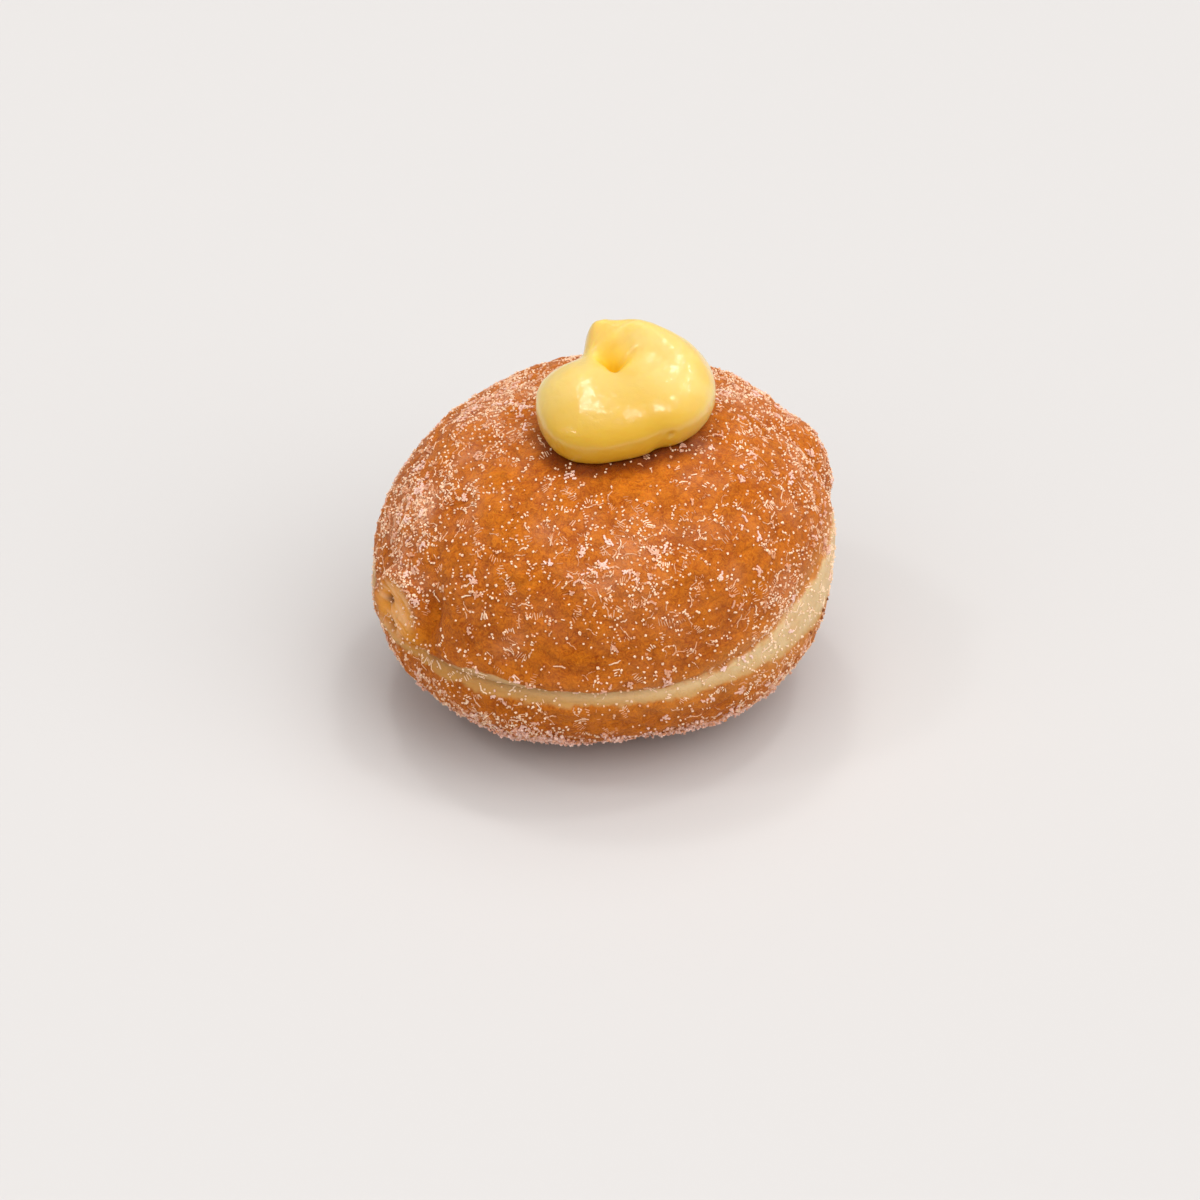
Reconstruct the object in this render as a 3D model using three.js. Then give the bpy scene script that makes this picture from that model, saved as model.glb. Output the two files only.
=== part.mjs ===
// A sugared, custard-filled doughnut: one deep-fried dough ball with a pale band round its waist, a torn
// nub on its left side, and a piped curl of custard on its crown.
// Millimetres, +Z up. The doughnut stands on the flat spot under its middle, and its front faces -Y.

import * as THREE from 'three';

// ---- Dough: the plain ball -------------------------------------------------------------------------
const BALL_HALF_WIDTH = 45;
const BALL_HALF_DEPTH = 44.6;
const WAIST_HEIGHT = 23.7;
const DOME_HEIGHT = 36.3;
const BASE_DROP = 25.1;
const DOME_FULLNESS = 2.65;
const BASE_FULLNESS = 2.235;
const CROWN_SHIFT = 4.4;

// Slow unevenness of the ball: how far it swells, how many times round, and where.
const BALL_SWELLS = [
  { swell: 0.8, times: 2, towards: 45 },
  { swell: 0.7, times: 3, towards: 94 },
  { swell: 0.35, times: 5, towards: 30 },
];

// ---- Dough: the pale band round the waist ----------------------------------------------------------
const BAND_FOOT_HEIGHT = 22.4;
const BAND_FOOT_WAVE = 0.9;
const BAND_FOOT_WAVES_ROUND = 4;
const BAND_FOOT_HIGH_SIDE = 235;
const BAND_TOP_HEIGHT = 31.3;
// One wave round the ball for each entry, then two, three and four: height, and direction of its crest.
const BAND_TOP_WAVES = [
  { rise: 5, towards: 58 },
  { rise: 2.25, towards: -16 },
  { rise: 1.05, towards: -25 },
  { rise: 1.65, towards: -15.5 },
];
// The band's edges fade over these parts of its height, counted from its foot (0) to its top (1).
const BAND_FOOT_FADE = [-0.25, 0.3];
const BAND_TOP_FADE = [0.9, 1.15];
const BAND_DEPTH_FRONT = 0.8;
const BAND_BULGE_RIGHT = 0.5;
const BAND_BULGE_DIRECTION = 0;
const BAND_BULGE_SPREAD = 45;
const CREASE_DEPTH_FRONT = 0.8;
const CREASE_DEPTH_BACK = 0.45;
const CREASE_HALF_WIDTH = 0.9;
const CREASE_LIP_FRONT = 0.5;
const CREASE_LIP_BACK = 0.2;
const CREASE_LIP_RAISED = 2.6;
const CREASE_LIP_HALF_HEIGHT = 2.2;
const CREASE_MIDDLE = 258;
const CREASE_SPREAD = 38;

// ---- Dough: the torn nub, the fold beside it and the lump at the back -------------------------------
const NUB_DIRECTION = 211.5;
const NUB_HEIGHT = 30.3;
const NUB_HALF_WIDTH = 7.8;
const NUB_HALF_HEIGHT = 7.2;
const NUB_RISE = 1.5;
const NUB_TILT = 0.13;
const NUB_RIM_FADE = [0.78, 1.2];
const NUB_LIP_RISE = 1.1;
const NUB_LIP_HALF_WIDTH = 0.24;
const NUB_LIP_TOWARDS = 52;
const NUB_LIP_SPREAD = 52;
const NUB_CRATER_DEPTH = 0.6;
const NUB_CRATER_FADE = [0.3, 0.9];
const NUB_PIT_DEPTH = 1;
const NUB_PITS = [
  { around: -3, up: 0.5, reach: 1.8 },
  { around: -1.3, up: -3.9, reach: 2 },
];

const FOLD_DIRECTION = 223.5;
const FOLD_MIDDLE_HEIGHT = 33.5;
const FOLD_HALF_LENGTH = 4.6;
const FOLD_HALF_WIDTH = 2.4;
const FOLD_DEPTH = 2.2;

const LUMP_DIRECTION = 14;
const LUMP_HEIGHT = 44;
const LUMP_HALF_WIDTH = 9;
const LUMP_HALF_HEIGHT = 10;
const LUMP_RISE = 1.9;
const LUMP_FADE = [0.3, 1.2];
const LUMP_CREASE_DEPTH = 0.9;
const LUMP_CREASE_OUT = 1.15;
const LUMP_CREASE_HALF_WIDTH = 0.22;
const LUMP_CREASE_FADE = [0, 10];

// ---- Custard: the piped curl on the crown ----------------------------------------------------------
const CURL_CENTRE_X = 3;
const CURL_CENTRE_Y = 0.4;
const CURL_REACH = 17.5;
const CURL_LEAN = 1.3;
const CURL_LEAN_DIRECTION = 30;
const CURL_ROLL_HEIGHT = 4.9;
const CURL_FULLNESS_FRONT = 2.2;
const CURL_FULLNESS_BACK = 3;
const CURL_WAIST = 5;
const CURL_UNDERCUT = 2.4;
const SEAT_GAP = 0.3;

// Swellings (positive) and notches (negative) of the curl's outline seen from above.
const CURL_OUTLINE = [
  { out: 3.8, towards: 243, spread: 32 },
  { out: -7.8, towards: 140, spread: 32 },
  { out: -0.7, towards: -62, spread: 9 },
];

// Rises (positive) and hollows (negative) of the curl's top, each an oval: place, size, turn and height.
const CURL_TOP = [
  { lift: 4.5, x: -2.8, y: 8.7, long: 2.7, wide: 2.9, turn: 15 },
  { lift: 5.1, x: 5.6, y: 10.0, long: 10.3, wide: 5.0, turn: -5 },
  { lift: 4.0, x: 18.4, y: 1.8, long: 8.5, wide: 5.8, turn: -50 },
  { lift: 1.6, x: -5.0, y: -2.5, long: 6.5, wide: 6.5, turn: 0 },
  { lift: -4.4, x: 1.9, y: 2.4, long: 1.9, wide: 1.8, turn: 0 },
  { lift: -2.2, x: 2.1, y: 0.2, long: 2.0, wide: 1.1, turn: 90 },
  { lift: -1.2, x: 4.6, y: 4.6, long: 3.4, wide: 2.0, turn: 50 },
];

// ---- How finely the surfaces are divided -----------------------------------------------------------
const BALL_COLUMNS = 108;
const COLUMN_CROWDING_AT_NUB = 0.42;
const COLUMN_CROWDING_BOTH_SIDES = 0.12;
const UNDERSIDE_ROWS = 8;
const ROW_UNDER_BAND = 0.6;
const BAND_STEPS = [0, 0.22, 0.44, 0.66, 0.84, 1];
const LIP_STEPS = [0.8, 1.8, 3.2];
const DOME_ROWS = 15;
const CURL_COLUMNS = 60;
const CURL_BASE_ROWS = 3;
const CURL_SIDE_ROWS = 5;
const CURL_TOP_ROWS = 16;
const HALVINGS = 40;

// ---- Small helpers ---------------------------------------------------------------------------------
const radians = THREE.MathUtils.degToRad;
const lerp = THREE.MathUtils.lerp;

function smooth(value, [from, to]) {
  return THREE.MathUtils.smoothstep(value, from, to);
}

function turnBetween(angle, degrees) {
  const turn = angle - radians(degrees);
  return Math.atan2(Math.sin(turn), Math.cos(turn));
}

function hill(distance) {
  return Math.exp(-distance * distance);
}

// A closed surface from a lowest point, rings of points that climb, and a highest point.
function closedSurface(lowest, rings, highest) {
  const points = [lowest, ...rings.flat(), highest];
  const columns = rings[0].length;
  const place = (ring, column) => 1 + ring * columns + (column % columns);
  const faces = [];
  for (let column = 0; column < columns; column += 1) {
    faces.push(0, place(0, column + 1), place(0, column));
    for (let ring = 0; ring + 1 < rings.length; ring += 1) {
      const near = place(ring, column);
      const far = place(ring, column + 1);
      const nearAbove = place(ring + 1, column);
      const farAbove = place(ring + 1, column + 1);
      faces.push(near, far, farAbove, near, farAbove, nearAbove);
    }
    const last = rings.length - 1;
    faces.push(points.length - 1, place(last, column), place(last, column + 1));
  }
  const geometry = new THREE.BufferGeometry().setFromPoints(points);
  geometry.setIndex(faces);
  geometry.computeVertexNormals();
  return geometry;
}

// ---- Dough -----------------------------------------------------------------------------------------
// The ball's meridian is a superellipse: "climb" runs from -90 degrees at the foot to +90 at the crown.
function ballHeight(climb) {
  const reach = climb > 0 ? DOME_HEIGHT : BASE_DROP;
  const fullness = climb > 0 ? DOME_FULLNESS : BASE_FULLNESS;
  return WAIST_HEIGHT + Math.sign(climb) * reach * Math.abs(Math.sin(climb)) ** (2 / fullness);
}

function climbAtHeight(height) {
  const above = height - WAIST_HEIGHT;
  const reach = above > 0 ? DOME_HEIGHT : BASE_DROP;
  const fullness = above > 0 ? DOME_FULLNESS : BASE_FULLNESS;
  const part = Math.min(1, Math.abs(above) / reach) ** (fullness / 2);
  return Math.sign(above) * Math.asin(part);
}

function ballPoint(around, climb) {
  const fullness = climb > 0 ? DOME_FULLNESS : BASE_FULLNESS;
  const girth = Math.cos(climb) ** (2 / fullness);
  const shift = CROWN_SHIFT * Math.max(0, Math.sin(climb));
  return new THREE.Vector3(
    BALL_HALF_WIDTH * girth * Math.cos(around) + shift,
    BALL_HALF_DEPTH * girth * Math.sin(around),
    ballHeight(climb),
  );
}

function ballNormal(around, climb) {
  const reach = climb > 0 ? DOME_HEIGHT : BASE_DROP;
  const fullness = climb > 0 ? DOME_FULLNESS : BASE_FULLNESS;
  const outward = Math.cos(climb) ** (2 - 2 / fullness) / BALL_HALF_WIDTH;
  const upward = Math.sign(climb) * Math.abs(Math.sin(climb)) ** (2 - 2 / fullness) / reach;
  return new THREE.Vector3(
    outward * Math.cos(around),
    outward * Math.sin(around),
    upward,
  ).normalize();
}

function bandFoot(around) {
  const turn = turnBetween(around, BAND_FOOT_HIGH_SIDE);
  return BAND_FOOT_HEIGHT + BAND_FOOT_WAVE * Math.cos(BAND_FOOT_WAVES_ROUND * turn);
}

function bandTop(around) {
  return BAND_TOP_WAVES.reduce(
    (height, wave, index) => height + wave.rise * Math.cos((index + 1) * turnBetween(around, wave.towards)),
    BAND_TOP_HEIGHT,
  );
}

function swellRelief(around, climb) {
  const fade = Math.cos(climb) ** 2;
  return BALL_SWELLS.reduce(
    (relief, wave) => relief + wave.swell * fade * Math.cos(wave.times * turnBetween(around, wave.towards)),
    0,
  );
}

// The band is sunk under the front of the dome and swells a little on the right.
function bandRelief(around, height) {
  const foot = bandFoot(around);
  const top = bandTop(around);
  const part = (height - foot) / (top - foot);
  const inside = smooth(part, BAND_FOOT_FADE) * (1 - smooth(part, BAND_TOP_FADE));
  const front = hill(turnBetween(around, CREASE_MIDDLE) / radians(CREASE_SPREAD));
  const right = hill(turnBetween(around, BAND_BULGE_DIRECTION) / radians(BAND_BULGE_SPREAD));
  const crease = lerp(CREASE_DEPTH_BACK, CREASE_DEPTH_FRONT, front);
  const lip = lerp(CREASE_LIP_BACK, CREASE_LIP_FRONT, front)
    * hill((height - top - CREASE_LIP_RAISED) / CREASE_LIP_HALF_HEIGHT);
  return inside * (BAND_BULGE_RIGHT * right - BAND_DEPTH_FRONT * front)
    - crease * hill((height - top) / CREASE_HALF_WIDTH) + lip;
}

// A torn stump of dough, higher on the side away from the front: a hollow with two deeper holes,
// and a thick lip over its upper right side.
function nubRelief(around, height) {
  const along = BALL_HALF_WIDTH * turnBetween(around, NUB_DIRECTION);
  const up = height - NUB_HEIGHT;
  const out = Math.hypot(along / NUB_HALF_WIDTH, up / NUB_HALF_HEIGHT);
  const rise = (NUB_RISE - NUB_TILT * along) * (1 - smooth(out, NUB_RIM_FADE));
  const towardsLip = turnBetween(Math.atan2(up, along), NUB_LIP_TOWARDS) / radians(NUB_LIP_SPREAD);
  const lip = NUB_LIP_RISE * hill((out - 1) / NUB_LIP_HALF_WIDTH) * hill(towardsLip);
  const crater = NUB_CRATER_DEPTH * (1 - smooth(out, NUB_CRATER_FADE));
  const pits = NUB_PITS.reduce(
    (depth, pit) => depth + NUB_PIT_DEPTH * hill(Math.hypot(along - pit.around, up - pit.up) / pit.reach),
    0,
  );
  return rise + lip - crater - pits;
}

function foldRelief(around, height) {
  const along = BALL_HALF_WIDTH * turnBetween(around, FOLD_DIRECTION);
  const up = (height - FOLD_MIDDLE_HEIGHT) / FOLD_HALF_LENGTH;
  return -FOLD_DEPTH * hill(along / FOLD_HALF_WIDTH) * hill(up);
}

function lumpRelief(around, height) {
  const along = BALL_HALF_WIDTH * turnBetween(around, LUMP_DIRECTION);
  const up = height - LUMP_HEIGHT;
  const out = Math.hypot(along / LUMP_HALF_WIDTH, up / LUMP_HALF_HEIGHT);
  const creaseSide = smooth(up - along, LUMP_CREASE_FADE);
  const crease = LUMP_CREASE_DEPTH * creaseSide * hill((out - LUMP_CREASE_OUT) / LUMP_CREASE_HALF_WIDTH);
  return LUMP_RISE * (1 - smooth(out, LUMP_FADE)) - crease;
}

function doughPoint(around, climb) {
  const point = ballPoint(around, climb);
  const relief = swellRelief(around, climb) + bandRelief(around, point.z) + nubRelief(around, point.z)
    + foldRelief(around, point.z) + lumpRelief(around, point.z);
  return point.addScaledVector(ballNormal(around, climb), relief);
}

// Columns stand closer together at the torn nub, and a little closer at the lump across from it.
function columnDirection(column) {
  const even = (2 * Math.PI * column) / BALL_COLUMNS;
  return even - COLUMN_CROWDING_AT_NUB * Math.sin(even - radians(NUB_DIRECTION))
    - COLUMN_CROWDING_BOTH_SIDES * Math.sin(2 * (even - radians(NUB_DIRECTION)));
}

// The rows follow the band's two edges, so that its crease is sharp all the way round.
function climbsOfColumn(around) {
  const footClimb = climbAtHeight(0);
  const foot = bandFoot(around);
  const top = bandTop(around);
  const climbs = [];
  for (let row = 0; row < UNDERSIDE_ROWS; row += 1) {
    climbs.push(lerp(footClimb, climbAtHeight(foot - ROW_UNDER_BAND), row / (UNDERSIDE_ROWS - 1)));
  }
  BAND_STEPS.forEach((step) => climbs.push(climbAtHeight(foot + step * (top - foot))));
  LIP_STEPS.forEach((step) => climbs.push(climbAtHeight(top + step)));
  const lipClimb = climbs[climbs.length - 1];
  for (let row = 1; row <= DOME_ROWS; row += 1) {
    climbs.push(lerp(lipClimb, Math.PI / 2, row / (DOME_ROWS + 1)));
  }
  return climbs;
}

function makeDough() {
  const columns = [];
  for (let column = 0; column < BALL_COLUMNS; column += 1) {
    const around = columnDirection(column);
    columns.push(climbsOfColumn(around).map((climb) => doughPoint(around, climb)));
  }
  const rings = columns[0].map((_, row) => columns.map((points) => points[row]));
  rings[0].forEach((point) => point.setZ(0));
  const geometry = closedSurface(new THREE.Vector3(0, 0, 0), rings, ballPoint(0, Math.PI / 2));
  const material = new THREE.MeshStandardMaterial({ color: 0xc4702a, roughness: 0.62, metalness: 0 });
  const dough = new THREE.Mesh(geometry, material);
  dough.name = 'dough';
  return dough;
}

// ---- Custard ---------------------------------------------------------------------------------------
// Height of the crown under a place near the middle: the dome's equation solved by halving.
function crownHeight(x, y) {
  let low = 0;
  let high = 1;
  for (let step = 0; step < HALVINGS; step += 1) {
    const rise = (low + high) / 2;
    const girth = (1 - rise * rise) ** (2 / DOME_FULLNESS);
    const out = ((x - CROWN_SHIFT * rise) / BALL_HALF_WIDTH) ** 2 + (y / BALL_HALF_DEPTH) ** 2;
    if (out < girth) low = rise;
    else high = rise;
  }
  return WAIST_HEIGHT + DOME_HEIGHT * low ** (2 / DOME_FULLNESS);
}

function curlOutline(around) {
  return CURL_OUTLINE.reduce(
    (reach, part) => reach + part.out * hill(turnBetween(around, part.towards) / radians(part.spread)),
    CURL_REACH + CURL_LEAN * Math.cos(turnBetween(around, CURL_LEAN_DIRECTION)),
  );
}

function curlLift(x, y) {
  return CURL_TOP.reduce((lift, part) => {
    const cosine = Math.cos(radians(part.turn));
    const sine = Math.sin(radians(part.turn));
    const along = (x - part.x) * cosine + (y - part.y) * sine;
    const across = (y - part.y) * cosine - (x - part.x) * sine;
    return lift + part.lift * hill(Math.hypot(along / part.long, across / part.wide));
  }, CURL_ROLL_HEIGHT);
}

function curlPlace(around, out) {
  const x = CURL_CENTRE_X + out * Math.cos(around);
  const y = CURL_CENTRE_Y + out * Math.sin(around);
  return new THREE.Vector3(x, y, crownHeight(x, y) + SEAT_GAP);
}

// The underside lies on the crown at a small gap.
function curlBasePoint(around, part) {
  return curlPlace(around, part * (curlOutline(around) - CURL_UNDERCUT));
}

// The side rolls outward from the underside to the widest line.
function curlSidePoint(around, part) {
  const climb = (part * Math.PI) / 2;
  const point = curlPlace(around, curlOutline(around) - CURL_UNDERCUT * (1 - Math.sin(climb)));
  point.z += (CURL_WAIST - SEAT_GAP) * (1 - Math.cos(climb));
  return point;
}

// The top rises from the widest line with the roll, peak, mound and pit.
function curlTopPoint(around, climb) {
  const back = (1 + Math.sin(around)) / 2;
  const fullness = lerp(CURL_FULLNESS_FRONT, CURL_FULLNESS_BACK, back);
  const point = curlPlace(around, curlOutline(around) * Math.cos(climb) ** (2 / fullness));
  const rise = Math.sin(climb) ** (2 / fullness);
  point.z += CURL_WAIST - SEAT_GAP + rise * curlLift(point.x, point.y);
  return point;
}

function makeCustard() {
  const rings = [];
  const ring = (pointAt, value) => {
    const points = [];
    for (let column = 0; column < CURL_COLUMNS; column += 1) {
      points.push(pointAt((2 * Math.PI * column) / CURL_COLUMNS, value));
    }
    rings.push(points);
  };
  for (let row = 1; row <= CURL_BASE_ROWS; row += 1) ring(curlBasePoint, row / CURL_BASE_ROWS);
  for (let row = 1; row < CURL_SIDE_ROWS; row += 1) ring(curlSidePoint, row / CURL_SIDE_ROWS);
  for (let row = 0; row < CURL_TOP_ROWS; row += 1) {
    ring(curlTopPoint, (Math.PI / 2) * (row / CURL_TOP_ROWS));
  }
  const geometry = closedSurface(curlBasePoint(0, 0), rings, curlTopPoint(0, Math.PI / 2));
  const material = new THREE.MeshStandardMaterial({ color: 0xf2cd63, roughness: 0.35, metalness: 0 });
  const custard = new THREE.Mesh(geometry, material);
  custard.name = 'custard';
  return custard;
}

// ---- The doughnut ----------------------------------------------------------------------------------
// The origin is under the middle of the whole, on the surface that it stands on.
const doughnut = new THREE.Group();
doughnut.add(makeDough(), makeCustard());
const extent = new THREE.Box3().setFromObject(doughnut);
const middle = extent.getCenter(new THREE.Vector3());
doughnut.children.forEach((mesh) => mesh.position.set(-middle.x, -middle.y, -extent.min.z));

export default doughnut;
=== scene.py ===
# The looks of a sugared, custard-filled doughnut: its fried crust with the pale waist band and the torn nub,
# the custard curl, the sugar as real crystals, and a plain floor, soft light and the camera.
# Shapes are worked out in millimetres, in the same named sizes as the solids. Directions are in degrees,
# counted round from the right side towards the back.

import collections
import functools
import itertools
import math

import bpy
import numpy as np
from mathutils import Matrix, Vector
from mathutils.bvhtree import BVHTree


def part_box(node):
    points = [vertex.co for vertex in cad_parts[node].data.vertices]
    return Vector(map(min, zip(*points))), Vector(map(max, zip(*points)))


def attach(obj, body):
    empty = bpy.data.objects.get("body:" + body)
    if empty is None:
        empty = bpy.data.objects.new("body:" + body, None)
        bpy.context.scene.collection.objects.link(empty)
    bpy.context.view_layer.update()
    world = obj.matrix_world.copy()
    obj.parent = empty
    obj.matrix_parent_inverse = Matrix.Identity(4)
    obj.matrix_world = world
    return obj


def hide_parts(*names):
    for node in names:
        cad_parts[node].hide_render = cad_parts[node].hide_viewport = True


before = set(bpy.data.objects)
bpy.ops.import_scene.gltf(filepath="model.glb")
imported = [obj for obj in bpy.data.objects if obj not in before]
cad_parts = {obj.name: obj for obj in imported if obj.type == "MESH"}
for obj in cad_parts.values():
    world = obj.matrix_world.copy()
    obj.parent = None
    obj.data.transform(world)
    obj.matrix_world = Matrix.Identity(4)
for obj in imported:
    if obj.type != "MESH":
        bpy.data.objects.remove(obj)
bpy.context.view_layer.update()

METRES = 0.001  # in one millimetre

# ---- Dough sizes, as in the solids ----
BALL_HALF_WIDTH = 45
BALL_HALF_DEPTH = 44.6
WAIST_HEIGHT = 23.7
DOME_HEIGHT = 36.3
BASE_DROP = 25.1
DOME_FULLNESS = 2.65
BASE_FULLNESS = 2.235
CROWN_SHIFT = 4.4
BALL_SWELLS = [
    {"swell": 0.8, "times": 2, "towards": 45},
    {"swell": 0.7, "times": 3, "towards": 94},
    {"swell": 0.35, "times": 5, "towards": 30},
]
BAND_FOOT_HEIGHT = 22.4
BAND_FOOT_WAVE = 0.9
BAND_FOOT_WAVES_ROUND = 4
BAND_FOOT_HIGH_SIDE = 235
BAND_TOP_HEIGHT = 31.3
BAND_TOP_WAVES = [
    {"rise": 5, "towards": 58},
    {"rise": 2.25, "towards": -16},
    {"rise": 1.05, "towards": -25},
    {"rise": 1.65, "towards": -15.5},
]
BAND_FOOT_FADE = (-0.25, 0.3)
BAND_TOP_FADE = (0.9, 1.15)
BAND_DEPTH_FRONT = 0.8
BAND_BULGE_RIGHT = 0.5
BAND_BULGE_DIRECTION = 0
BAND_BULGE_SPREAD = 45
CREASE_DEPTH_FRONT = 0.8
CREASE_DEPTH_BACK = 0.45
CREASE_HALF_WIDTH = 0.9
CREASE_LIP_FRONT = 0.5
CREASE_LIP_BACK = 0.2
CREASE_LIP_RAISED = 2.6
CREASE_LIP_HALF_HEIGHT = 2.2
CREASE_MIDDLE = 258
CREASE_SPREAD = 38
NUB_DIRECTION = 211.5
NUB_HEIGHT = 30.3
NUB_HALF_WIDTH = 7.8
NUB_HALF_HEIGHT = 7.2
NUB_RISE = 1.5
NUB_TILT = 0.13
NUB_RIM_FADE = (0.78, 1.2)
NUB_LIP_RISE = 1.1
NUB_LIP_HALF_WIDTH = 0.24
NUB_LIP_TOWARDS = 52
NUB_LIP_SPREAD = 52
NUB_CRATER_DEPTH = 0.6
NUB_CRATER_FADE = (0.3, 0.9)
NUB_PIT_DEPTH = 1
NUB_PITS = [
    {"around": -3, "up": 0.5, "reach": 1.8},
    {"around": -1.3, "up": -3.9, "reach": 2},
]
FOLD_DIRECTION = 223.5
FOLD_MIDDLE_HEIGHT = 33.5
FOLD_HALF_LENGTH = 4.6
FOLD_HALF_WIDTH = 2.4
FOLD_DEPTH = 2.2
LUMP_DIRECTION = 14
LUMP_HEIGHT = 44
LUMP_HALF_WIDTH = 9
LUMP_HALF_HEIGHT = 10
LUMP_RISE = 1.9
LUMP_FADE = (0.3, 1.2)
LUMP_CREASE_DEPTH = 0.9
LUMP_CREASE_OUT = 1.15
LUMP_CREASE_HALF_WIDTH = 0.22
LUMP_CREASE_FADE = (0, 10)

# ---- Custard sizes, as in the solids ----
CURL_CENTRE_X = 3
CURL_CENTRE_Y = 0.4
CURL_REACH = 17.5
CURL_LEAN = 1.3
CURL_LEAN_DIRECTION = 30
CURL_ROLL_HEIGHT = 4.9
CURL_FULLNESS_FRONT = 2.2
CURL_FULLNESS_BACK = 3
CURL_WAIST = 5
CURL_UNDERCUT = 2.4
SEAT_GAP = 0.3
CURL_OUTLINE = [
    {"out": 3.8, "towards": 243, "spread": 32},
    {"out": -7.8, "towards": 140, "spread": 32},
    {"out": -0.7, "towards": -62, "spread": 9},
]
CURL_TOP = [
    {"lift": 4.5, "x": -2.8, "y": 8.7, "long": 2.7, "wide": 2.9, "turn": 15},
    {"lift": 5.1, "x": 5.6, "y": 10.0, "long": 10.3, "wide": 5.0, "turn": -5},
    {"lift": 4.0, "x": 18.4, "y": 1.8, "long": 8.5, "wide": 5.8, "turn": -50},
    {"lift": 1.6, "x": -5.0, "y": -2.5, "long": 6.5, "wide": 6.5, "turn": 0},
    {"lift": -4.4, "x": 1.9, "y": 2.4, "long": 1.9, "wide": 1.8, "turn": 0},
    {"lift": -2.2, "x": 2.1, "y": 0.2, "long": 2.0, "wide": 1.1, "turn": 90},
    {"lift": -1.2, "x": 4.6, "y": 4.6, "long": 3.4, "wide": 2.0, "turn": 50},
]

# ---- Small helpers ----


def lerp(low, high, part):
    return low + (high - low) * part


def smooth(value, fade):
    part = np.clip((value - fade[0]) / (fade[1] - fade[0]), 0, 1)
    return part * part * (3 - 2 * part)


def turn_between(angle, degrees):
    turn = angle - math.radians(degrees)
    return np.arctan2(np.sin(turn), np.cos(turn))


def hill(distance):
    return np.exp(-distance * distance)


def side_share(around, towards, spread):
    """1 in this direction, fading to 0 on both sides of it."""
    return hill(turn_between(around, towards) / math.radians(spread))


def turned(angle, along, across):
    """The same place counted along and across a direction, in degrees."""
    cosine, sine = math.cos(math.radians(angle)), math.sin(math.radians(angle))
    return along * cosine + across * sine, across * cosine - along * sine


def unit(vectors):
    return vectors / np.linalg.norm(vectors, axis=-1, keepdims=True)


NOISE_CELLS = 256
NOISE_FULL_RANGE = 1.6
CREASE_WANDER = 0.4


def noise(points, size, seed):
    """Smooth random lumps of about this size, between -1 and 1, at each of the points."""
    draws = np.random.default_rng(seed)
    table = draws.permutation(NOISE_CELLS)
    slopes = unit(draws.normal(size=(NOISE_CELLS, 3)))
    scaled = points / size
    cell = np.floor(scaled).astype(int)
    within = scaled - cell
    ease = within**3 * (within * (within * 6 - 15) + 10)
    total = np.zeros(points.shape[:-1])
    for corner in itertools.product((0, 1), repeat=3):
        at = (cell + corner) % NOISE_CELLS
        key = table[(table[(table[at[..., 0]] + at[..., 1]) % NOISE_CELLS] + at[..., 2]) % NOISE_CELLS]
        share = np.prod(np.where(np.array(corner) == 1, ease, 1 - ease), axis=-1)
        total += share * (slopes[key] * (within - corner)).sum(-1)
    return total * NOISE_FULL_RANGE


# A place on the dough: its direction and height, how far it reaches each way, and how many times more
# lies there.
Place = collections.namedtuple("Place", "towards height turn rise more", defaults=[1])


def spot(around, height, place):
    """1 in the middle of a place on the dough, fading to 0 around it."""
    turn = turn_between(around, place.towards) / math.radians(place.turn)
    return hill(np.hypot(turn, (height - place.height) / place.rise))


def spots(around, height, places):
    return sum(place.more * spot(around, height, place) for place in places)


def strands(along, across, length, width, seed):
    """Noise drawn out into strands of about this length and width."""
    return noise(np.stack([along / length, across / width, np.zeros_like(along)], axis=-1), 1, seed)


def crease_lines(points, size, half_width, seed):
    """1 along a net of wandering lines about this size apart, fading to 0 beside them."""
    wander = np.stack([noise(points, size, seed + axis) for axis in (1, 2, 3)], axis=-1)
    near = np.abs(noise(points + wander * size * CREASE_WANDER, size, seed))
    return hill(near / half_width)


# ---- Dough: where its surface lies ----


def half_of_ball(above):
    """Height and fullness of the dome where this is above 0, and of the base elsewhere."""
    return np.where(above > 0, DOME_HEIGHT, BASE_DROP), np.where(above > 0, DOME_FULLNESS, BASE_FULLNESS)


def climb_at_height(height):
    above = np.asarray(height, float) - WAIST_HEIGHT
    reach, fullness = half_of_ball(above)
    return np.sign(above) * np.arcsin(np.minimum(1, np.abs(above) / reach) ** (fullness / 2))


def ball_point(around, climb):
    reach, fullness = half_of_ball(climb)
    girth = np.cos(climb) ** (2 / fullness)
    shift = CROWN_SHIFT * np.maximum(0, np.sin(climb))
    across = BALL_HALF_WIDTH * girth * np.cos(around) + shift
    back = BALL_HALF_DEPTH * girth * np.sin(around)
    height = WAIST_HEIGHT + np.sign(climb) * reach * np.abs(np.sin(climb)) ** (2 / fullness)
    return np.stack([across, back, height], axis=-1)


def ball_normal(around, climb):
    reach, fullness = half_of_ball(climb)
    outward = np.cos(climb) ** (2 - 2 / fullness) / BALL_HALF_WIDTH
    upward = np.sign(climb) * np.abs(np.sin(climb)) ** (2 - 2 / fullness) / reach
    return unit(np.stack([outward * np.cos(around), outward * np.sin(around), upward], axis=-1))


def band_foot(around):
    turn = turn_between(around, BAND_FOOT_HIGH_SIDE)
    return BAND_FOOT_HEIGHT + BAND_FOOT_WAVE * np.cos(BAND_FOOT_WAVES_ROUND * turn)


def band_top(around):
    return BAND_TOP_HEIGHT + sum(
        wave["rise"] * np.cos(times * turn_between(around, wave["towards"]))
        for times, wave in enumerate(BAND_TOP_WAVES, start=1)
    )


def band_part(around, height):
    """0 at the band's foot and 1 at its top."""
    foot = band_foot(around)
    return (height - foot) / (band_top(around) - foot)


def front_share(around):
    return side_share(around, CREASE_MIDDLE, CREASE_SPREAD)


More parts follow.
